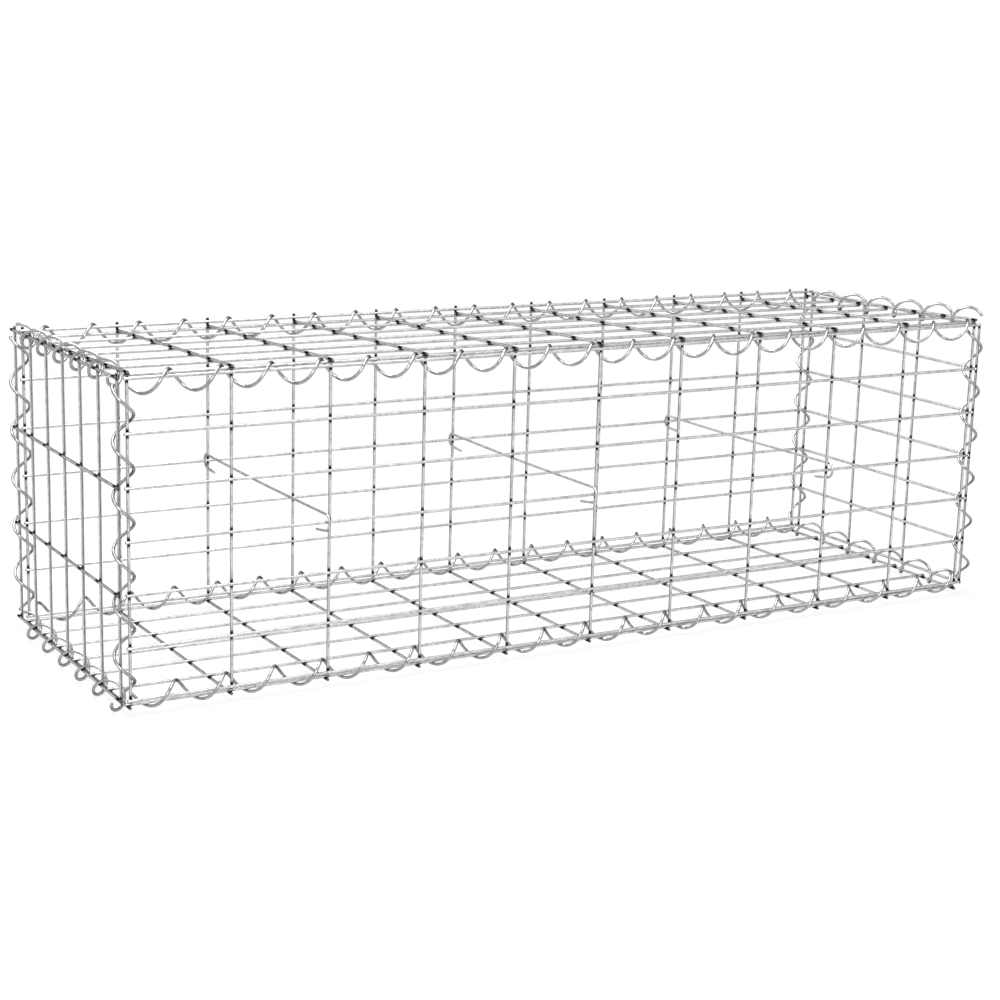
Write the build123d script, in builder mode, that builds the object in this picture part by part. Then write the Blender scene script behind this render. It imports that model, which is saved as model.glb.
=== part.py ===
# Empty gabion basket of welded wire mesh, one metre long.
# Six mesh panels are laced together along all twelve edges by spiral
# binders, and three tie wires hold the front and the back at their distance.
# The length runs along X, the front faces -Y and the ground is at Z = 0.
import os
from math import asin, cos, degrees, hypot, radians, sin, sqrt

from build123d import *

os.makedirs("parts", exist_ok=True)

# Basket between its outermost wires
length = 1000.0
depth = 300.0
height = 300.0

# Mesh of the panels
mesh_wire = 3.0
wide_mesh = 100.0
narrow_mesh = 50.0
weld_bite = 0.3
wire_tip = 4.0
trimmed_tip = 1.0

# Spiral binders
spiral_wire = 3.0
edge_spiral_radius = 10.4
corner_spiral_radius = 9.3
seat_gap = 0.25
spiral_end_margin = 5.0

# How the loose panels hang in their binders
left_end_gap = 9.5
left_end_lift = 2.0
base_shift = -1.6
base_drop = 4.2
base_setback = 3.0
lid_rise = 2.9
lid_setback = 3.3
lid_sag = 10.0
end_setback = 1.7
back_setback = 4.0
panel_clearance = 0.3

# Turn of each spiral at the start of its edge: where in the first pitch its
# crest comes, as an angle
front_bottom_turn = 304.0
front_top_turn = 276.0
back_bottom_turn = 56.0
back_top_turn = 160.0
left_bottom_turn = 308.0
right_bottom_turn = 142.0
left_top_turn = 304.0
right_top_turn = 120.0
front_left_turn = 108.0
back_left_turn = 148.0
front_right_turn = 127.0
back_right_turn = 236.0

# Tie wires
tie_wire = 2.5
tie_side_gap = 0.5
tie_tail = 24.0
tie_tail_drop = 6.0
tie_places = (0.2, 0.5, 0.8)

# Derived sizes: whole cells fill each side
long_cells = round(length / wide_mesh)
deep_cells = round(depth / narrow_mesh)
high_cells = round(height / narrow_mesh)
deep_wide_cells = round(depth / wide_mesh)
high_wide_cells = round(height / wide_mesh)
long_pitch = length / long_cells
deep_pitch = depth / deep_cells
high_pitch = height / high_cells
long_turns = round(length / narrow_mesh)
layer_step = mesh_wire - weld_bite
clear_step = mesh_wire + panel_clearance
right_end_gap = trimmed_tip + clear_step
lid_angle = degrees(asin(lid_sag / depth))
edge_reach = edge_spiral_radius - (spiral_wire + mesh_wire) / 2 - seat_gap
corner_reach = corner_spiral_radius - (spiral_wire + mesh_wire) / 2 - seat_gap


# The middle of two wires that meet at an edge, moved to the side given by sag
# until the wire on the far side lies against the inside of the turns.
def between(first, second, reach, sag):
    half_across = abs(first[0] - second[0]) / 2
    half_along = abs(first[1] - second[1]) / 2
    slide = sqrt(reach**2 - half_across**2) - half_along
    return ((first[0] + second[0]) / 2, (first[1] + second[1]) / 2 + sag * slide)


# Height of the lid's cross wires at a place along the depth
def lid_cross_height(along):
    return height + lid_rise + layer_step - lid_sag * (along - lid_setback) / depth


# Places of the wires that meet along each edge, measured from the front panel's
# lower left crossing
left_x = -left_end_gap - layer_step
right_x = length + right_end_gap
back_y = depth + back_setback
base_front_y = base_setback
base_back_y = base_setback + depth
lid_front_y = lid_setback
lid_back_y = lid_setback + depth * cos(radians(lid_angle))
lid_back_z = height + lid_rise - lid_sag
base_cross_z = -base_drop - layer_step
right_outer_x = right_x + layer_step

# Long edges: level wire of an upright panel beside a long wire of base or lid.
# The bottom wires lie down in their spirals, and the top spirals hang from theirs.
front_bottom_axis = between((0, 0), (base_front_y, -base_drop), edge_reach, 1)
front_top_axis = between((0, height), (lid_front_y, height + lid_rise), edge_reach, -1)
back_bottom_axis = between((back_y, 0), (base_back_y, -base_drop), edge_reach, 1)
back_top_axis = between((back_y, height), (lid_back_y, lid_back_z), edge_reach, -1)

# Short edges: level wire of an end panel beside the outermost cross wire. The
# right top spiral slopes, as its turns only meet the wires some way from its ends.
left_bottom_axis = between((left_x, left_end_lift), (base_shift, base_cross_z), edge_reach, 1)
right_bottom_axis = between((right_x, 0), (length + base_shift, base_cross_z), edge_reach, 1)
left_top_front = between((left_x, height + left_end_lift), (0, lid_cross_height(0)), edge_reach, -1)
left_top_back = between((left_x, height + left_end_lift), (0, lid_cross_height(depth)), edge_reach, -1)
right_top_front = between((right_x, height), (length, lid_cross_height(0)), edge_reach, 1.5)
right_top_back = between((right_x, height), (length, lid_cross_height(depth)), edge_reach, -1.1)

# Upright corners: outermost uprights of two neighbouring panels. Each spiral is
# pulled to one side at its foot and to the other side at its head.
front_left_wires = ((0, layer_step), (-left_end_gap, end_setback))
front_left_foot = between(*front_left_wires, corner_reach, 1)
front_left_head = between(*front_left_wires, corner_reach, -1)
back_left_wires = ((0, back_y + layer_step), (-left_end_gap, end_setback + depth))
back_left_foot = between(*back_left_wires, corner_reach, 1)
back_left_head = between(*back_left_wires, corner_reach, -1)
front_right_wires = ((length, layer_step), (right_outer_x, end_setback))
front_right_foot = between(*front_right_wires, corner_reach, -1)
front_right_head = between(*front_right_wires, corner_reach, 1)
back_right_wires = ((length, back_y + layer_step), (right_outer_x, end_setback + depth))
back_right_foot = between(*back_right_wires, corner_reach, -1)
back_right_head = between(*back_right_wires, corner_reach, 1)

# The basket stands on the underside of its bottom spirals, over the middle of its footprint
edge_outer = edge_spiral_radius + spiral_wire / 2
corner_outer = corner_spiral_radius + spiral_wire / 2
lowest_axis = min(front_bottom_axis[1], back_bottom_axis[1], left_bottom_axis[1], right_bottom_axis[1])
ground_drop = edge_outer - lowest_axis
left_most = min(left_bottom_axis[0] - edge_outer, front_left_foot[0] - corner_outer)
right_most = max(right_top_front[0] + edge_outer, front_right_foot[0] + corner_outer)
front_most = min(front_bottom_axis[0] - edge_outer, front_right_foot[1] - corner_outer)
back_most = max(back_top_axis[0] + edge_outer, back_right_head[1] + corner_outer)
middle_x = (left_most + right_most) / 2
middle_y = (front_most + back_most) / 2


# A point measured from the front panel's lower left crossing, in the part's frame
def at(x, y, z):
    return Vector(x - middle_x, y - middle_y, z + ground_drop)


# A welded mesh: bars along X with a second layer of bars along Y at the height of
# lift. Each layer's tips are its wire ends past the outermost crossings.
def mesh(run, columns, rise, rows, lift, run_tips, rise_tips):
    with BuildPart() as net:
        with BuildSketch(Plane.YZ.offset(-run_tips[0])):
            with Locations([(rise * row / rows, 0) for row in range(rows + 1)]):
                RegularPolygon(mesh_wire / 2, 8, major_radius=False, rotation=22.5)
        extrude(amount=run_tips[0] + run + run_tips[1])
        with BuildSketch(Plane.XZ.offset(rise_tips[0])):
            with Locations([(run * column / columns, lift) for column in range(columns + 1)]):
                RegularPolygon(mesh_wire / 2, 8, major_radius=False, rotation=22.5)
        extrude(amount=-(rise_tips[0] + rise + rise_tips[1]))
    return net.part


# Front panel, with its long wires outside
with BuildPart() as front_panel:
    with Locations(Plane(origin=at(0, 0, 0), x_dir=(1, 0, 0), z_dir=(0, -1, 0))):
        add(mesh(length, long_cells, height, high_cells, -layer_step,
                 (wire_tip, trimmed_tip), (trimmed_tip, trimmed_tip)))

# Back panel, with its long wires inside
with BuildPart() as back_panel:
    with Locations(Plane(origin=at(0, back_y, 0), x_dir=(1, 0, 0), z_dir=(0, -1, 0))):
        add(mesh(length, long_cells, height, high_cells, -layer_step,
                 (wire_tip, trimmed_tip), (trimmed_tip, wire_tip)))

# Base panel, with its cross wires underneath
with BuildPart() as base_panel:
    with Locations(Plane(origin=at(base_shift, base_setback, -base_drop))):
        add(mesh(length, long_cells, depth, deep_cells, -layer_step,
                 (wire_tip, trimmed_tip), (wire_tip, wire_tip)))

# Lid panel, with its cross wires on top and its rear edge hanging lower
lid_plane = Plane(origin=at(0, lid_setback, height + lid_rise),
                  x_dir=(1, 0, 0),
                  z_dir=(0, sin(radians(lid_angle)), cos(radians(lid_angle))))
with BuildPart() as lid_panel:
    with Locations(lid_plane):
        add(mesh(length, long_cells, depth, deep_cells, layer_step,
                 (wire_tip, trimmed_tip), (wire_tip, trimmed_tip)))

# Left end panel, with its uprights inside
with BuildPart() as left_end_panel:
    with Locations(Plane(origin=at(left_x, end_setback, left_end_lift), x_dir=(0, 1, 0), z_dir=(1, 0, 0))):
        add(mesh(depth, deep_cells, height, high_wide_cells, layer_step,
                 (wire_tip, wire_tip), (wire_tip, wire_tip)))

# Right end panel, turned a quarter turn so that its level wires lie inside
with BuildPart() as right_end_panel:
    with Locations(Plane(origin=at(right_x, end_setback, 0), x_dir=(0, 1, 0), z_dir=(1, 0, 0))):
        add(mesh(depth, deep_wide_cells, height, high_cells, layer_step,
                 (wire_tip, wire_tip), (trimmed_tip, trimmed_tip)))


# A left-hand spiral along the line from start to end. Its turns point along up
# where the angle of turn falls in each pitch.
def spiral(start, end, radius, turns, turn, up):
    line = end - start
    axis = line.normalized()
    pitch = line.length / turns
    with BuildPart() as coil:
        with BuildLine() as path:
            Helix(pitch, line.length - 2 * spiral_end_margin, radius, lefthand=True)
        with BuildSketch(path.line ^ 0):
            RegularPolygon(spiral_wire / 2, 6)
        sweep(is_frenet=True)
    frame = Plane(start + axis * spiral_end_margin, x_dir=up, z_dir=axis)
    return frame.location * Rotation(0, 0, turn - 360 * spiral_end_margin / pitch) * coil.part


# Spirals along the length, seen from their turns on top
top = (0, 0, 1)
with BuildPart() as spiral_front_bottom:
    add(spiral(at(0, *front_bottom_axis), at(length, *front_bottom_axis),
               edge_spiral_radius, long_turns, front_bottom_turn, top))
with BuildPart() as spiral_front_top:
    add(spiral(at(0, *front_top_axis), at(length, *front_top_axis),
               edge_spiral_radius, long_turns, front_top_turn, top))
with BuildPart() as spiral_back_bottom:
    add(spiral(at(0, *back_bottom_axis), at(length, *back_bottom_axis),
               edge_spiral_radius, long_turns, back_bottom_turn, top))
with BuildPart() as spiral_back_top:
    add(spiral(at(0, *back_top_axis), at(length, *back_top_axis),
               edge_spiral_radius, long_turns, back_top_turn, top))


# A point on an edge that runs along the depth, from its place across and above
def on_depth(point, along):
    return at(point[0], along, point[1])


# Spirals along the depth
with BuildPart() as spiral_left_bottom:
    add(spiral(on_depth(left_bottom_axis, 0), on_depth(left_bottom_axis, depth),
               edge_spiral_radius, deep_cells, left_bottom_turn, top))
with BuildPart() as spiral_right_bottom:
    add(spiral(on_depth(right_bottom_axis, 0), on_depth(right_bottom_axis, depth),
               edge_spiral_radius, deep_cells, right_bottom_turn, top))
with BuildPart() as spiral_left_top:
    add(spiral(on_depth(left_top_front, 0), on_depth(left_top_back, depth),
               edge_spiral_radius, deep_cells, left_top_turn, top))
with BuildPart() as spiral_right_top:
    add(spiral(on_depth(right_top_front, 0), on_depth(right_top_back, depth),
               edge_spiral_radius, deep_cells, right_top_turn, top))

# Spirals up the corners, seen from their turns on the right
right_side = (1, 0, 0)
with BuildPart() as spiral_front_left:
    add(spiral(at(*front_left_foot, 0), at(*front_left_head, height),
               corner_spiral_radius, high_cells, front_left_turn, right_side))
with BuildPart() as spiral_back_left:
    add(spiral(at(*back_left_foot, 0), at(*back_left_head, height),
               corner_spiral_radius, high_cells, back_left_turn, right_side))
with BuildPart() as spiral_front_right:
    add(spiral(at(*front_right_foot, 0), at(*front_right_head, height),
               corner_spiral_radius, high_cells, front_right_turn, right_side))
with BuildPart() as spiral_back_right:
    add(spiral(at(*back_right_foot, 0), at(*back_right_head, height),
               corner_spiral_radius, high_cells, back_right_turn, right_side))

# Tie wires: each goes over the middle wire of the front and of the back, down
# outside it and back in below it, and ends in a short bent tail.
hook_radius = (mesh_wire + tie_wire) / 2 + panel_clearance
beside_upright = (mesh_wire + tie_wire) / 2 + tie_side_gap
tie_height = high_pitch * (high_cells // 2)


def tie(place, front_side):
    upright_x = round(place * long_cells) * long_pitch
    front_x = upright_x + front_side * beside_upright
    rear_x = upright_x - beside_upright
    span = hypot(rear_x - front_x, back_y)
    plane = Plane(at(front_x, 0, tie_height),
                  x_dir=(rear_x - front_x, back_y, 0),
                  z_dir=(back_y, front_x - rear_x, 0))
    with BuildPart() as wire:
        with BuildLine(plane) as path:
            Line((tie_tail, -hook_radius - tie_tail_drop), (0, -hook_radius))
            ThreePointArc((0, -hook_radius), (-hook_radius, 0), (0, hook_radius))
            Line((0, hook_radius), (span, hook_radius))
            ThreePointArc((span, hook_radius), (span + hook_radius, 0), (span, -hook_radius))
            Line((span, -hook_radius), (span - tie_tail, -hook_radius - tie_tail_drop))
        with BuildSketch(path.line ^ 0):
            Circle(tie_wire / 2)
        sweep(transition=Transition.ROUND)
    return wire.part


with BuildPart() as tie_wire_left:
    add(tie(tie_places[0], -1))
with BuildPart() as tie_wire_middle:
    add(tie(tie_places[1], -1))
with BuildPart() as tie_wire_right:
    add(tie(tie_places[2], 1))

front_panel.part.label = "front_panel"
export_step(front_panel.part, "parts/front_panel.step")
back_panel.part.label = "back_panel"
export_step(back_panel.part, "parts/back_panel.step")
base_panel.part.label = "base_panel"
export_step(base_panel.part, "parts/base_panel.step")
lid_panel.part.label = "lid_panel"
export_step(lid_panel.part, "parts/lid_panel.step")
left_end_panel.part.label = "left_end_panel"
export_step(left_end_panel.part, "parts/left_end_panel.step")
right_end_panel.part.label = "right_end_panel"
export_step(right_end_panel.part, "parts/right_end_panel.step")
spiral_front_bottom.part.label = "spiral_front_bottom"
export_step(spiral_front_bottom.part, "parts/spiral_front_bottom.step")
spiral_front_top.part.label = "spiral_front_top"
export_step(spiral_front_top.part, "parts/spiral_front_top.step")
spiral_back_bottom.part.label = "spiral_back_bottom"
export_step(spiral_back_bottom.part, "parts/spiral_back_bottom.step")
spiral_back_top.part.label = "spiral_back_top"
export_step(spiral_back_top.part, "parts/spiral_back_top.step")
spiral_left_bottom.part.label = "spiral_left_bottom"
export_step(spiral_left_bottom.part, "parts/spiral_left_bottom.step")
spiral_right_bottom.part.label = "spiral_right_bottom"
export_step(spiral_right_bottom.part, "parts/spiral_right_bottom.step")
spiral_left_top.part.label = "spiral_left_top"
export_step(spiral_left_top.part, "parts/spiral_left_top.step")
spiral_right_top.part.label = "spiral_right_top"
export_step(spiral_right_top.part, "parts/spiral_right_top.step")
spiral_front_left.part.label = "spiral_front_left"
export_step(spiral_front_left.part, "parts/spiral_front_left.step")
spiral_back_left.part.label = "spiral_back_left"
export_step(spiral_back_left.part, "parts/spiral_back_left.step")
spiral_front_right.part.label = "spiral_front_right"
export_step(spiral_front_right.part, "parts/spiral_front_right.step")
spiral_back_right.part.label = "spiral_back_right"
export_step(spiral_back_right.part, "parts/spiral_back_right.step")
tie_wire_left.part.label = "tie_wire_left"
export_step(tie_wire_left.part, "parts/tie_wire_left.step")
tie_wire_middle.part.label = "tie_wire_middle"
export_step(tie_wire_middle.part, "parts/tie_wire_middle.step")
tie_wire_right.part.label = "tie_wire_right"
export_step(tie_wire_right.part, "parts/tie_wire_right.step")
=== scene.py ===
from math import asin, cos, pi, radians, sin, sqrt

import bmesh
import bpy
from mathutils import Matrix, Vector, noise


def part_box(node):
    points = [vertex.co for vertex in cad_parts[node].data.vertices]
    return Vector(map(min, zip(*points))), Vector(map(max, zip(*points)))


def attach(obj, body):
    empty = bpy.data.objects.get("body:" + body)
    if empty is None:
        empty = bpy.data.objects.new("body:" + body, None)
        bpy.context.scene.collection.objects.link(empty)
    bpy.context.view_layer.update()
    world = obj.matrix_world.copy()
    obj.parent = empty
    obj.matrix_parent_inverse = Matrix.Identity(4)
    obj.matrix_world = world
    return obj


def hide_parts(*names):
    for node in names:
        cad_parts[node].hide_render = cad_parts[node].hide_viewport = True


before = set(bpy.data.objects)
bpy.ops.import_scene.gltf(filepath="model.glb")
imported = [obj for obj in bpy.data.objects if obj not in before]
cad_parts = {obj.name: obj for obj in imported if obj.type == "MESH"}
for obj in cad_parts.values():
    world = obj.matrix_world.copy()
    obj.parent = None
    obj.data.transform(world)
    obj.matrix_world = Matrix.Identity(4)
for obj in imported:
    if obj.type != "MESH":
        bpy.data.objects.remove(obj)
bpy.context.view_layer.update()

# Sizes of the basket in metres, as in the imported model
basket = {
    "length": 1.0,
    "depth": 0.3,
    "height": 0.3,
    "wideCell": 0.1,
    "closeCell": 0.05,
    "wire": 0.003,
    "weldBite": 0.0003,
    "longTip": 0.004,
    "shortTip": 0.001,
    "spiralWire": 0.003,
    "spiralPitch": 0.05,
    "edgeRadius": 0.0104,
    "cornerRadius": 0.0093,
    "seatGap": 0.00025,
    "spiralEndMargin": 0.005,
    "tieWire": 0.0025,
}

# How the loose panels hang in their binders
hang = {
    "leftEndGap": 0.0095,
    "leftEndLift": 0.002,
    "baseShift": -0.0016,
    "baseDrop": 0.0042,
    "baseSetback": 0.003,
    "lidRise": 0.0029,
    "lidSetback": 0.0033,
    "lidSag": 0.010,
    "endSetback": 0.0017,
    "backSetback": 0.004,
    "panelClearance": 0.0003,
}

length, depth, height = basket["length"], basket["depth"], basket["height"]
wideCell, closeCell = basket["wideCell"], basket["closeCell"]
layerStep = basket["wire"] - basket["weldBite"]
leftX = -hang["leftEndGap"] - layerStep
rightX = length + basket["shortTip"] + basket["wire"] + hang["panelClearance"]
backY = depth + hang["backSetback"]
lidAngle = asin(hang["lidSag"] / depth)

# The front panel's lower left crossing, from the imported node's lowest corner
frontLow = Vector(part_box("front_panel")[0])
firstCrossing = frontLow + Vector((basket["longTip"], basket["wire"] / 2, basket["wire"] / 2))


def at(x, y, z):
    return firstCrossing + Vector((x, y, z))


def newObject(name, mesh, slotName, *materials):
    piece = bpy.data.objects.new(name, mesh)
    bpy.context.scene.collection.objects.link(piece)
    for material in materials:
        mesh.materials.append(material)
    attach(piece, "root")
    return piece


# Materials
class Nodes:
    def __init__(self, name):
        self.material = bpy.data.materials.new(name)
        self.material.use_nodes = True
        self.tree = self.material.node_tree
        self.shader = self.tree.nodes["Principled BSDF"]
        self.place = self.tree.nodes.new("ShaderNodeTexCoord").outputs["Object"]

    def link(self, source, target):
        self.tree.links.new(source, target)

    def texture(self, kind, **inputs):
        node = self.tree.nodes.new(kind)
        for key, value in inputs.items():
            node.inputs[key].default_value = value
        self.link(self.place, node.inputs["Vector"])
        return node

    def ramp(self, source, *stops):
        node = self.tree.nodes.new("ShaderNodeValToRGB")
        elements = node.color_ramp.elements
        for element, (place, grey) in zip(elements, stops):
            element.position = place
            element.color = (grey, grey, grey, 1)
        self.link(source, node.inputs["Fac"])
        return node.outputs["Color"]

    def math(self, operation, *values):
        node = self.tree.nodes.new("ShaderNodeMath")
        node.operation = operation
        for socket, value in zip(node.inputs, values):
            if isinstance(value, (int, float)):
                socket.default_value = value
            else:
                self.link(value, socket)
        return node.outputs["Value"]

    def rise(self, source, low, high):
        node = self.tree.nodes.new("ShaderNodeMapRange")
        node.inputs["From Min"].default_value = low
        node.inputs["From Max"].default_value = high
        self.link(source, node.inputs["Value"])
        return node.outputs["Result"]

    def mix(self, factor, first, second):
        node = self.tree.nodes.new("ShaderNodeMix")
        node.data_type = "RGBA"
        if isinstance(factor, (int, float)):
            node.inputs["Factor"].default_value = factor
        else:
            self.link(factor, node.inputs["Factor"])
        for key, value in (("A", first), ("B", second)):
            socket = next(plug for plug in node.inputs if plug.name == key and plug.type == "RGBA")
            if isinstance(value, tuple):
                socket.default_value = (*value, 1)
            else:
                self.link(value, socket)
        return next(plug for plug in node.outputs if plug.type == "RGBA")

    def roughen(self, height, strength, distance):
        node = self.tree.nodes.new("ShaderNodeBump")
        node.inputs["Strength"].default_value = strength
        node.inputs["Distance"].default_value = distance
        self.link(height, node.inputs["Height"])
        self.link(node.outputs["Normal"], self.shader.inputs["Normal"])


# A weld burn with painted contact shade is its reach from the weld, then where it starts and is full across
# the wire
zinc = {
    "meshDark": (0.27, 0.275, 0.28),
    "meshLight": (0.92, 0.925, 0.93),
    "meshEdge": (0.16, 0.16, 0.16),
    "meshRoughness": (0.30, 0.50),
    "spiralDark": (0.15, 0.153, 0.157),
    "spiralLight": (0.62, 0.625, 0.63),
    "spiralEdge": (0.12, 0.12, 0.12),
    "spiralRoughness": (0.14, 0.28),
    "tieDark": (0.24, 0.243, 0.247),
    "tieLight": (0.80, 0.805, 0.81),
    "tieEdge": (0.14, 0.14, 0.14),
    "tieRoughness": (0.28, 0.42),
    "spangleScale": 340,
    "spangleStops": (0.1, 0.9),
    "cloudScale": 130,
    "cloudStops": (0.34, 0.66),
    "cloudShare": 0.5,
    "grainScale": 1100,
    "grainStops": (0.32, 0.68),
    "grainShare": 0.35,
    "bump": 0.35,
    "bumpDepth": 0.00012,
    # Painted edge shade: dark lines along the wire's edges, where the wire turns away from the light
    "edgeShadeColour": (0.10, 0.101, 0.103),
    "edgeShadeShare": (0.45, 1.0),
    "uprightEdgeShade": (0.72, 0.25),
    "flatEdgeShade": (0.55, 0.92),
    # Weld burns, with painted contact shade where the crossing wire shades the wire
    "closeBurnAndShade": (0.0058, -0.2, 0.1),
    "wideBurnAndShade": (0.0042, 0.3, 0.6),
    "burnAndShadeColour": (0.010, 0.0095, 0.009),
    "burnAndShadeCore": 0.55,
    "burnAndShadeRagged": 0.0022,
    "burnAndShadeRoughness": 0.75,
}


# The colour, roughness, spangle and grain of mottled zinc, in the shades of one kind of wire
def mottled(nodes, kind):
    spangle = nodes.texture("ShaderNodeTexVoronoi", Scale=zinc["spangleScale"])
    cloud = nodes.texture("ShaderNodeTexNoise", Scale=zinc["cloudScale"], Detail=4, Roughness=0.6)
    grain = nodes.texture("ShaderNodeTexNoise", Scale=zinc["grainScale"], Detail=3, Roughness=0.65)
    sources = (spangle.outputs["Color"], cloud.outputs["Fac"], grain.outputs["Fac"])
    stops = (zinc["spangleStops"], zinc["cloudStops"], zinc["grainStops"])
    greys = [nodes.ramp(source, (low, 0.0), (high, 1.0)) for source, (low, high) in zip(sources, stops)]
    mottle = nodes.mix(zinc["cloudShare"], greys[0], greys[1])
    mottle = nodes.mix(zinc["grainShare"], mottle, greys[2])
    colour = nodes.mix(mottle, zinc[kind + "Dark"], zinc[kind + "Light"])
    smoothest, roughest = zinc[kind + "Roughness"]
    rough = nodes.math("MULTIPLY_ADD", sources[2], roughest - smoothest, smoothest)
    return colour, rough, sources[0], sources[2]


def finish(nodes, kind, colour, rough, grain):
    nodes.link(colour, nodes.shader.inputs["Base Color"])
    nodes.link(rough, nodes.shader.inputs["Roughness"])
    nodes.shader.inputs["Metallic"].default_value = 1.0
    nodes.shader.inputs["Specular Tint"].default_value = (*zinc[kind + "Edge"], 1)
    nodes.roughen(grain, zinc["bump"], zinc["bumpDepth"])
    return nodes.material


def plainZinc(name, kind):
    nodes = Nodes(name)
    colour, rough, spangle, grain = mottled(nodes, kind)
    return finish(nodes, kind, colour, rough, grain)


# Zinc on welded mesh: scorched at each weld with painted contact shade there, and with painted shade as dark
# lines along two sides of the wire
def meshZinc(name, weldPitch, burnAndShade, edgeShadeReach):
    nodes = Nodes(name)
    colour, rough, spangle, grain = mottled(nodes, "mesh")
    # The wire's own map: metres along it from the first weld, and across towards its weld side
    wireMap = nodes.tree.nodes.new("ShaderNodeUVMap")
    wireMap.uv_map = "wire"
    apart = nodes.tree.nodes.new("ShaderNodeSeparateXYZ")
    nodes.link(wireMap.outputs["UV"], apart.inputs["Vector"])
    along, across = apart.outputs["X"], apart.outputs["Y"]
    burnAndShadeReach, sideStart, sideFull = burnAndShade
    # Weld scorch and painted contact shade on the weld side of the wire, near each crossing
    offset = nodes.math("PINGPONG", along, weldPitch / 2)
    ragged = nodes.math("MULTIPLY", nodes.math("SUBTRACT", grain, 0.5), zinc["burnAndShadeRagged"])
    nearWeld = nodes.rise(nodes.math("ADD", offset, ragged), burnAndShadeReach, burnAndShadeReach * zinc["burnAndShadeCore"])
    burntAndShaded = nodes.math("MULTIPLY", nearWeld, nodes.rise(across, sideStart, sideFull))
    # Across runs from 0 to 1, so twice that less 1 is how far to either side
    fromMiddle = nodes.math("ABSOLUTE", nodes.math("MULTIPLY_ADD", across, 2, -1))
    # Painted shade along the wire's edges, as dark lines broken up by the spangle
    broken = nodes.ramp(spangle, *zip((0.0, 1.0), zinc["edgeShadeShare"]))
    edgeShaded = nodes.math("MULTIPLY", nodes.rise(fromMiddle, *edgeShadeReach), broken)
    colour = nodes.mix(edgeShaded, colour, zinc["edgeShadeColour"])
    colour = nodes.mix(burntAndShaded, colour, zinc["burnAndShadeColour"])
    rough = nodes.math("MAXIMUM", rough, nodes.math("MULTIPLY", burntAndShaded, zinc["burnAndShadeRoughness"]))
    return finish(nodes, "mesh", colour, rough, grain)


dull = {
    "weldDark": (0.02, 0.019, 0.018),
    "weldLight": (0.09, 0.085, 0.08),
    "weldScale": 1400,
    "weldRoughness": 0.72,
    "weldMetal": 0.6,
    "cutDark": (0.10, 0.095, 0.09),
    "cutLight": (0.26, 0.25, 0.24),
    "cutScale": 1800,
    "cutRoughness": 0.55,
    "cutMetal": 0.9,
    "stops": (0.35, 0.65),
    "bump": 0.5,
    "bumpDepth": 0.0002,
}


def dullMetal(name, kind):
    nodes = Nodes(name)
    blotch = nodes.texture("ShaderNodeTexNoise", Scale=dull[kind + "Scale"], Detail=3, Roughness=0.6)
    low, high = dull["stops"]
    share = nodes.ramp(blotch.outputs["Fac"], (low, 0.0), (high, 1.0))
    colour = nodes.mix(share, dull[kind + "Dark"], dull[kind + "Light"])
    nodes.link(colour, nodes.shader.inputs["Base Color"])
    nodes.shader.inputs["Roughness"].default_value = dull[kind + "Roughness"]
    nodes.shader.inputs["Metallic"].default_value = dull[kind + "Metal"]
    nodes.roughen(blotch.outputs["Fac"], dull["bump"], dull["bumpDepth"])
    return nodes.material


def meshZincPair(name, edgeShadeReach):
    return (meshZinc(name + "Wide", wideCell, zinc["wideBurnAndShade"], edgeShadeReach),
            meshZinc(name + "Close", closeCell, zinc["closeBurnAndShade"], edgeShadeReach))


wallZinc = meshZincPair("wallZinc", zinc["uprightEdgeShade"])
deckZinc = meshZincPair("deckZinc", zinc["flatEdgeShade"])
spiralZinc = plainZinc("spiralZinc", "spiral")
tieZinc = plainZinc("tieZinc", "tie")
burntWeld = dullMetal("burntWeld", "weld")
cutSteel = dullMetal("cutSteel", "cut")
print("materials made")

# Welded mesh panels: round bars with cut ends, and a flattened burr at each weld
bars = {
    "sides": 12,
    "ringSpacing": 0.0125,
    "endBevel": 0.00035,
    "wander": 0.0004,
    "swayScale": 9,
    "swayBarStep": 3.7,
    "swayKindStep": 51,
    "bulgeShare": 1.5,
    "bulgeScale": 6,
    "bulgeSeedStep": 0.5,
    "burrSides": 10,
    "burrRings": 6,
    "burrWide": 0.0021,
    "burrThick": 0.0011,
    "burrUneven": 0.16,
    "burrScale": 31,
}
alongRun, upRise = 0, 1
wideSlot, closeSlot, burrSlot, cutSlot = range(4)
hair = 1e-6

burr = bmesh.new()
bmesh.ops.create_uvsphere(burr, u_segments=bars["burrSides"], v_segments=bars["burrRings"], radius=1)
for face in burr.faces:
    face.material_index = burrSlot
    face.smooth = True
burrMesh = bpy.data.meshes.new("burr")
burr.to_mesh(burrMesh)
burr.free()


# The rims of a closed rod: the edges of its two many-sided end faces
def endRims(rod):
    return [edge for edge in rod.edges if any(len(face.verts) > 4 for face in edge.link_faces)]


def bevelRims(rod, offset):
    bmesh.ops.bevel(rod, geom=endRims(rod), offset=offset, segments=1, profile=0.5,
                    affect="EDGES", material=-1)


# A straight bar up the z axis, from first to last
def straightBar(first, last):
    rod = bmesh.new()
    rod.loops.layers.uv.new("wire")
    radius = basket["wire"] / 2
    bmesh.ops.create_cone(rod, cap_ends=True, segments=bars["sides"], radius1=radius, radius2=radius,
                          depth=last - first, matrix=Matrix.Translation((0, 0, (first + last) / 2)))
    long = [edge for edge in rod.edges if abs(edge.verts[0].co.z - edge.verts[1].co.z) > hair]
    bmesh.ops.subdivide_edges(rod, edges=long, cuts=round((last - first) / bars["ringSpacing"]))
    bevelRims(rod, bars["endBevel"])
    return rod


# Adds a mesh to the net and deletes it
def moveInto(net, part):
    net.from_mesh(part)
    bpy.data.meshes.remove(part)


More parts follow.
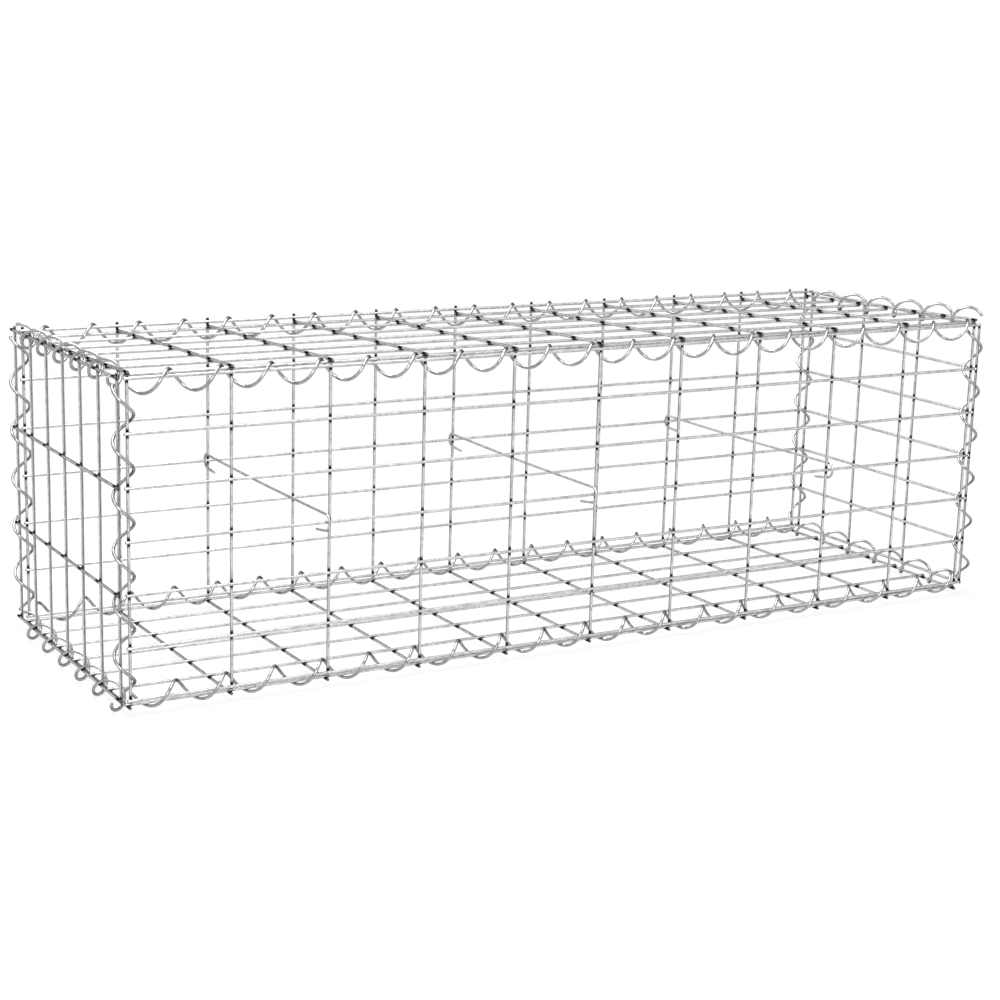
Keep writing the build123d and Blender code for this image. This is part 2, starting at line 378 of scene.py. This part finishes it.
# A panel runs along xDir and rises square to it, with zDir as its normal. Its bars up the
# rise lie off by lift along zDir. Tips are how far the wires stand out at start and end.
def panel(name, origin, xDir, zDir, run, columns, rise, rows, lift, runTips, riseTips):
    xDir, zDir = Vector(xDir).normalized(), Vector(zDir).normalized()
    yDir = zDir.cross(xDir)
    place = Matrix((xDir, yDir, zDir)).transposed().to_4x4()
    place.translation = origin
    seed = sum(ord(letter) for letter in name)
    net = bmesh.new()
    net.loops.layers.uv.new("wire")

    def sway(kind, index, along):
        step = index * bars["swayBarStep"] + kind * bars["swayKindStep"]
        return bars["wander"] * noise.noise(Vector((along * bars["swayScale"], step, seed)))

    def bulge(x, y):
        scale = bars["bulgeScale"]
        spot = Vector((x * scale, y * scale, seed + bars["bulgeSeedStep"]))
        return bars["wander"] * bars["bulgeShare"] * noise.noise(spot)

    def addBar(kind, index, across, first, last, cellLength):
        rod = straightBar(first, last)
        wireMap = rod.loops.layers.uv["wire"]
        zincSlot = wideSlot if cellLength > (wideCell + closeCell) / 2 else closeSlot
        facing = 1 if (lift > 0) == (kind == alongRun) else -1
        for face in rod.faces:
            atStart = all(vert.co.z < first + hair for vert in face.verts)
            atEnd = all(vert.co.z > last - hair for vert in face.verts)
            face.material_index = cutSlot if atStart or atEnd else zincSlot
            face.smooth = not (atStart or atEnd)
            for loop in face.loops:
                towardsWeld = facing * loop.vert.co.y / (basket["wire"] / 2)
                loop[wireMap].uv = (loop.vert.co.z, 0.5 + 0.5 * towardsWeld)
        for vert in rod.verts:
            side, up, along = vert.co
            middle = across + sway(kind, index, along) + side
            if kind == alongRun:
                vert.co = Vector((along, middle, up + bulge(along, across)))
            else:
                vert.co = Vector((middle, along, up + lift + bulge(across, along)))
        part = bpy.data.meshes.new("rod")
        rod.to_mesh(part)
        rod.free()
        moveInto(net, part)

    def addBurr(x, y, row, column):
        sways = Vector((sway(upRise, column, y), sway(alongRun, row, x), 0))
        middle = Vector((x, y, lift / 2 + bulge(x, y))) + sways
        scale = bars["burrScale"]
        uneven = bars["burrUneven"] * noise.noise(Vector((x * scale, y * scale, seed)))
        wide = bars["burrWide"] * (1 + uneven)
        part = burrMesh.copy()
        part.transform(Matrix.Translation(middle) @ Matrix.Diagonal((wide, wide, bars["burrThick"], 1)))
        moveInto(net, part)

    for row in range(rows + 1):
        addBar(alongRun, row, rise * row / rows, -runTips[0], run + runTips[1], run / columns)
    for column in range(columns + 1):
        addBar(upRise, column, run * column / columns, -riseTips[0], rise + riseTips[1], rise / rows)
    for row in range(rows + 1):
        for column in range(columns + 1):
            addBurr(run * column / columns, rise * row / rows, row, column)
    bmesh.ops.recalc_face_normals(net, faces=net.faces)
    bmesh.ops.transform(net, matrix=place, verts=net.verts)
    mesh = bpy.data.meshes.new(name)
    net.to_mesh(mesh)
    net.free()
    # Upright panels have their painted edge shade, dark lines where the wires' sides lie in the panel's
    # plane, and flat panels have it on top of the wires and underneath
    zincPair = deckZinc if abs(zDir.z) > 0.5 else wallZinc
    piece = newObject(name + "_Wires", mesh, "mesh_wire", *zincPair, burntWeld, cutSteel)
    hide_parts(name)


longTip, shortTip = basket["longTip"], basket["shortTip"]
shortTips, longTips, mixedTips = (shortTip, shortTip), (longTip, longTip), (longTip, shortTip)
wideAlong, closeUp, closeDeep = round(length / wideCell), round(height / closeCell), round(depth / closeCell)
wideUp, wideDeep = round(height / wideCell), round(depth / wideCell)
forwards, sideways, upright = (1, 0, 0), (0, 1, 0), (0, 0, 1)
outOfFront, lidNormal = (0, -1, 0), (0, sin(lidAngle), cos(lidAngle))

panel("front_panel", at(0, 0, 0), forwards, outOfFront,
      length, wideAlong, height, closeUp, -layerStep, mixedTips, shortTips)
panel("back_panel", at(0, backY, 0), forwards, outOfFront,
      length, wideAlong, height, closeUp, -layerStep, mixedTips, (shortTip, longTip))
panel("base_panel", at(hang["baseShift"], hang["baseSetback"], -hang["baseDrop"]), forwards, upright,
      length, wideAlong, depth, closeDeep, -layerStep, mixedTips, longTips)
panel("lid_panel", at(0, hang["lidSetback"], height + hang["lidRise"]), forwards, lidNormal,
      length, wideAlong, depth, closeDeep, layerStep, mixedTips, mixedTips)
panel("left_end_panel", at(leftX, hang["endSetback"], hang["leftEndLift"]), sideways, forwards,
      depth, closeDeep, height, wideUp, layerStep, longTips, longTips)
panel("right_end_panel", at(rightX, hang["endSetback"], 0), sideways, forwards,
      depth, wideDeep, height, closeUp, layerStep, longTips, shortTips)
print("panels made")

# Spiral binders: round wire wound left-handed, one turn in each 50 mm
coils = {
    "sides": 12,
    "stepsPerTurn": 30,
    "endBevel": 0.0003,
}
wireReach = (basket["spiralWire"] + basket["wire"]) / 2
edgeReach = basket["edgeRadius"] - wireReach - basket["seatGap"]
cornerReach = basket["cornerRadius"] - wireReach - basket["seatGap"]


# Where a spiral's axis passes two wires that meet at an edge: halfway between them, and
# moved by sag, where both wires are still inside the turns from -1 to 1
def between(first, second, reach, sag):
    halfAcross = abs(first[0] - second[0]) / 2
    halfAlong = abs(first[1] - second[1]) / 2
    slide = sqrt(reach ** 2 - halfAcross ** 2) - halfAlong
    return (first[0] + second[0]) / 2, (first[1] + second[1]) / 2 + sag * slide


def lidCrossHeight(along):
    return height + hang["lidRise"] + layerStep - hang["lidSag"] * (along - hang["lidSetback"]) / depth


# Phase is where the winding starts, in degrees round the axis from the direction up
def spiral(node, start, end, radius, phase, up):
    axis = (end - start).normalized()
    turns = round((end - start).length / basket["spiralPitch"])
    pitch = (end - start).length / turns
    across = (Vector(up) - axis * Vector(up).dot(axis)).normalized()
    other = axis.cross(across)
    margin = basket["spiralEndMargin"]
    span = (end - start).length - 2 * margin
    angle = radians(phase) - 2 * pi * margin / pitch
    outward = across * cos(angle) + other * sin(angle)
    onward = across * -sin(angle) + other * cos(angle)
    heading = (axis - onward * (2 * pi * radius / pitch)).normalized()
    ring = Matrix((outward, heading.cross(outward), heading)).transposed().to_4x4()
    ring.translation = start + axis * margin + outward * radius
    coil = bmesh.new()
    bmesh.ops.create_circle(coil, cap_ends=True, segments=coils["sides"],
                            radius=basket["spiralWire"] / 2, matrix=ring)
    steps = round(span / pitch * coils["stepsPerTurn"])
    made = bmesh.ops.spin(coil, geom=coil.edges[:], cent=start, axis=axis, dvec=axis * (span / steps),
                          angle=-2 * pi * span / pitch, steps=steps)
    lastRim = [part for part in made["geom_last"] if isinstance(part, bmesh.types.BMEdge)]
    bmesh.ops.edgeloop_fill(coil, edges=lastRim)
    bevelRims(coil, coils["endBevel"])
    bmesh.ops.recalc_face_normals(coil, faces=coil.faces)
    for face in coil.faces:
        isEnd = len(face.verts) > 4
        face.smooth = not isEnd
        face.material_index = 1 if isEnd else 0
    mesh = bpy.data.meshes.new(node + "_Coil")
    coil.to_mesh(mesh)
    coil.free()
    piece = newObject(node + "_Coil", mesh, "spiral_wire", spiralZinc, cutSteel)
    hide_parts(node)


edgeRadius, cornerRadius = basket["edgeRadius"], basket["cornerRadius"]
lidZ = height + hang["lidRise"]
baseFront, baseRear = [(hang["baseSetback"] + y, -hang["baseDrop"]) for y in (0, depth)]
lidFront = (hang["lidSetback"], lidZ)
lidRear = (hang["lidSetback"] + depth * cos(lidAngle), lidZ - hang["lidSag"])
# Each edge has its two wires, its sag and its phase; places are across and up
alongEdges = {
    "spiral_front_bottom": (((0, 0), baseFront), 1, 304),
    "spiral_front_top": (((0, height), lidFront), -1, 276),
    "spiral_back_bottom": (((backY, 0), baseRear), 1, 56),
    "spiral_back_top": (((backY, height), lidRear), -1, 160),
}
for node, (wires, sag, phase) in alongEdges.items():
    axis = between(*wires, edgeReach, sag)
    spiral(node, at(0, *axis), at(length, *axis), edgeRadius, phase, upright)

baseCross = -hang["baseDrop"] - layerStep
baseLeft, baseRight = [(x + hang["baseShift"], baseCross) for x in (0, length)]
lidLeft, lidRight = [[(x, lidCrossHeight(y)) for y in (0, depth)] for x in (0, length)]
leftLow, rightLow = (leftX, hang["leftEndLift"]), (rightX, 0)
leftHigh, rightHigh = (leftX, height + hang["leftEndLift"]), (rightX, height)
# Each edge has its end panel's wire, the other wire and the sag at front and rear, and its phase
acrossEdges = {
    "spiral_left_bottom": (leftLow, [baseLeft] * 2, (1, 1), 308),
    "spiral_right_bottom": (rightLow, [baseRight] * 2, (1, 1), 142),
    "spiral_left_top": (leftHigh, lidLeft, (-1, -1), 304),
    "spiral_right_top": (rightHigh, lidRight, (1.5, -1.1), 120),
}
for node, (wire, others, sags, phase) in acrossEdges.items():
    near, far = [between(wire, other, edgeReach, sag) for other, sag in zip(others, sags)]
    spiral(node, at(near[0], 0, near[1]), at(far[0], depth, far[1]), edgeRadius, phase, upright)

frontY, rearY = hang["endSetback"], hang["endSetback"] + depth
leftInner, rightOuter = -hang["leftEndGap"], rightX + layerStep
# Each corner has its two wires, the sag at its foot and head, and its phase
uprightEdges = {
    "spiral_front_left": (((0, layerStep), (leftInner, frontY)), (1, -1), 108),
    "spiral_back_left": (((0, backY + layerStep), (leftInner, rearY)), (1, -1), 148),
    "spiral_front_right": (((length, layerStep), (rightOuter, frontY)), (-1, 1), 127),
    "spiral_back_right": (((length, backY + layerStep), (rightOuter, rearY)), (-1, 1), 236),
}
for node, (wires, sags, phase) in uprightEdges.items():
    foot, head = [between(*wires, cornerReach, sag) for sag in sags]
    spiral(node, at(*foot, 0), at(*head, height), cornerRadius, phase, forwards)
print("spirals made")

# Tie wires from the front's middle wire to the back's, hooked over both
ties = {
    "sideGap": 0.0005,
    "places": {"tie_wire_left": (0.2, -1), "tie_wire_middle": (0.5, -1), "tie_wire_right": (0.8, 1)},
    "roundness": 4,
    "steps": 10,
    "bow": 0.0012,
    "hookTop": 0.0070,
    "hookOut": 0.0044,
    "rearBend": (0.002, -0.0072),
    "rearTail": (0.024, -0.0088),
    "frontBend": (0.003, -0.0092),
    "frontTail": (0.024, -0.0120),
}
beside = (basket["wire"] + basket["tieWire"]) / 2 + ties["sideGap"]


def tieCurve(name):
    curve = bpy.data.curves.new(name, "CURVE")
    curve.dimensions = "3D"
    curve.bevel_depth = basket["tieWire"] / 2
    curve.bevel_resolution = ties["roundness"]
    curve.resolution_u = ties["steps"]
    curve.use_fill_caps = True
    return curve


# Share is the tie's place along the basket, and frontSide the side of the upright it hooks beside
def tie(node, share, frontSide):
    postX = share * length
    start = at(postX + frontSide * beside, 0, height / 2)
    end = at(postX - beside, backY, height / 2)
    along = (end - start).normalized()
    span = (end - start).length
    curve = tieCurve(node + "_Bent")
    crown, out = ties["hookTop"], ties["hookOut"]
    frontTail, frontBend = ties["frontTail"], ties["frontBend"]
    rearTail, rearBend = ties["rearTail"], ties["rearBend"]
    # Each knot has its place along the tie and above the level wires, its heading, and how far
    # its handles reach before and after it
    knots = [
        (frontTail, Vector((-1, 0.08)), 0.004, 0.006),
        (frontBend, Vector((-1, 0.12)), 0.006, out * 0.9),
        ((-out, 0), Vector((0, 1)), 0.0045, 0.0035),
        ((0.001, crown), Vector((1, 0)), 0.003, 0.012),
        ((span * 0.5, crown - ties["bow"]), Vector((1, 0)), span * 0.2, span * 0.2),
        ((span - 0.001, crown), Vector((1, 0)), 0.012, 0.003),
        ((span + out, 0), Vector((0, -1)), 0.0035, 0.0035),
        ((span - rearBend[0], rearBend[1]), Vector((-1, -0.05)), out * 0.8, 0.006),
        ((span - rearTail[0], rearTail[1]), Vector((-1, -0.1)), 0.006, 0.004),
    ]
    line = curve.splines.new("BEZIER")
    line.bezier_points.add(len(knots) - 1)
    up = Vector(upright)
    for point, ((x, z), heading, before, after) in zip(line.bezier_points, knots):
        point.handle_left_type = point.handle_right_type = "FREE"
        point.co = start + along * x + up * z
        way = along * heading.x + up * heading.y
        point.handle_left = point.co - way * before
        point.handle_right = point.co + way * after
    shape = bpy.data.objects.new("shape", curve)
    mesh = bpy.data.meshes.new_from_object(shape)
    mesh.name = node + "_Bent"
    bpy.data.objects.remove(shape)
    bpy.data.curves.remove(curve)
    piece = newObject(node + "_Bent", mesh, "tie_wire", tieZinc)
    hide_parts(node)


for node, (share, frontSide) in ties["places"].items():
    tie(node, share, frontSide)
print("ties made")

# Floor, light and camera
studio = {
    "floorSize": 60.0,
    "floorColour": (0.88, 0.88, 0.88),
    "floorRoughness": 0.9,
    "fadeReach": (0.6, 1.3),
    "whiteShare": (0.82, 1.0),
    "skyLight": 0.42,
    "lampAim": (0, 0, 0.15),
    "overheadPower": 60,
    "overheadPlace": (-0.2, 0.2, 2.0),
    "overheadSize": (1.6, 1.2),
    "frontPower": 34,
    "frontPlace": (-1.3, -2.3, 1.9),
    "frontSize": (1.2, 0.9),
}


# A surface that the camera, reflections and clear things see as white by the given share
def whiteWhereSeen(tree, surface, white, share, output):
    def joined(operation, first, second):
        node = tree.nodes.new("ShaderNodeMath")
        node.operation = operation
        tree.links.new(first, node.inputs[0])
        tree.links.new(second, node.inputs[1])
        return node.outputs["Value"]

    ray = tree.nodes.new("ShaderNodeLightPath")
    seen = joined("MAXIMUM", ray.outputs["Is Camera Ray"], ray.outputs["Is Glossy Ray"])
    seen = joined("MAXIMUM", seen, ray.outputs["Is Transmission Ray"])
    blend = tree.nodes.new("ShaderNodeMixShader")
    tree.links.new(joined("MULTIPLY", seen, share), blend.inputs["Fac"])
    tree.links.new(surface, blend.inputs[1])
    tree.links.new(white, blend.inputs[2])
    tree.links.new(blend.outputs["Shader"], output.inputs["Surface"])


# Near the basket the floor takes its shadow, and further off it is plain white
def floorPaper():
    material = bpy.data.materials.new("floorPaper")
    material.use_nodes = True
    tree = material.node_tree
    paper = tree.nodes["Principled BSDF"]
    paper.inputs["Base Color"].default_value = (*studio["floorColour"], 1)
    paper.inputs["Roughness"].default_value = studio["floorRoughness"]
    glow = tree.nodes.new("ShaderNodeEmission")
    spot = tree.nodes.new("ShaderNodeTexCoord")
    reach = tree.nodes.new("ShaderNodeVectorMath")
    reach.operation = "LENGTH"
    tree.links.new(spot.outputs["Object"], reach.inputs[0])
    fade = tree.nodes.new("ShaderNodeMapRange")
    fade.interpolation_type = "SMOOTHSTEP"
    fade.inputs["From Min"].default_value, fade.inputs["From Max"].default_value = studio["fadeReach"]
    fade.inputs["To Min"].default_value, fade.inputs["To Max"].default_value = studio["whiteShare"]
    tree.links.new(reach.outputs["Value"], fade.inputs["Value"])
    whiteWhereSeen(tree, paper.outputs["BSDF"], glow.outputs["Emission"], fade.outputs["Result"],
                   tree.nodes["Material Output"])
    return material


def whiteWorld():
    world = bpy.data.worlds.new("studio")
    world.use_nodes = True
    tree = world.node_tree
    sky = tree.nodes["Background"]
    sky.inputs["Color"].default_value = (1, 1, 1, 1)
    sky.inputs["Strength"].default_value = studio["skyLight"]
    glow = tree.nodes.new("ShaderNodeBackground")
    glow.inputs["Color"].default_value = (1, 1, 1, 1)
    glow.inputs["Strength"].default_value = 1
    whole = tree.nodes.new("ShaderNodeValue")
    whole.outputs["Value"].default_value = 1
    whiteWhereSeen(tree, sky.outputs["Background"], glow.outputs["Background"], whole.outputs["Value"],
                   tree.nodes["World Output"])
    return world


sheet = bmesh.new()
bmesh.ops.create_grid(sheet, x_segments=1, y_segments=1, size=studio["floorSize"] / 2)
floorMesh = bpy.data.meshes.new("floor")
sheet.to_mesh(floorMesh)
sheet.free()
floorMesh.materials.append(floorPaper())
floor = bpy.data.objects.new("floor", floorMesh)
bpy.context.scene.collection.objects.link(floor)
bpy.context.scene.world = whiteWorld()


def softLight(name):
    light = bpy.data.lights.new(name, "AREA")
    light.shape = "RECTANGLE"
    light.size, light.size_y = studio[name + "Size"]
    light.energy = studio[name + "Power"]
    lamp = bpy.data.objects.new(name, light)
    lamp.location = studio[name + "Place"]
    aim = Vector(studio["lampAim"]) - Vector(studio[name + "Place"])
    lamp.rotation_euler = aim.to_track_quat("-Z", "Y").to_euler()
    bpy.context.scene.collection.objects.link(lamp)


softLight("overhead")
softLight("front")

# The photograph's view: place from the basket's first crossing in metres, angles in radians
shot = {
    "place": (-0.61884, -1.71624, 0.61382),
    "yaw": 0.52960,
    "pitch": 0.22711,
    "roll": 0.02838,
    "focalShare": 2.05266,
    "sensorWidth": 36,
}
yaw, pitch, roll = shot["yaw"], shot["pitch"], shot["roll"]
ahead = Vector((sin(yaw) * cos(pitch), cos(yaw) * cos(pitch), -sin(pitch)))
level = Vector((cos(yaw), -sin(yaw), 0))
above = level.cross(ahead)
right = level * cos(roll) + above * sin(roll)
upward = level * -sin(roll) + above * cos(roll)
eye = bpy.data.cameras.new("camera")
eye.sensor_fit = "HORIZONTAL"
eye.sensor_width = shot["sensorWidth"]
eye.lens = shot["sensorWidth"] * shot["focalShare"]
camera = bpy.data.objects.new("camera", eye)
pose = Matrix((right, upward, -ahead)).transposed().to_4x4()
pose.translation = at(*shot["place"])
camera.matrix_world = pose
bpy.context.scene.collection.objects.link(camera)
bpy.context.scene.camera = camera
bpy.context.scene.view_settings.view_transform = "Standard"
print("studio made")
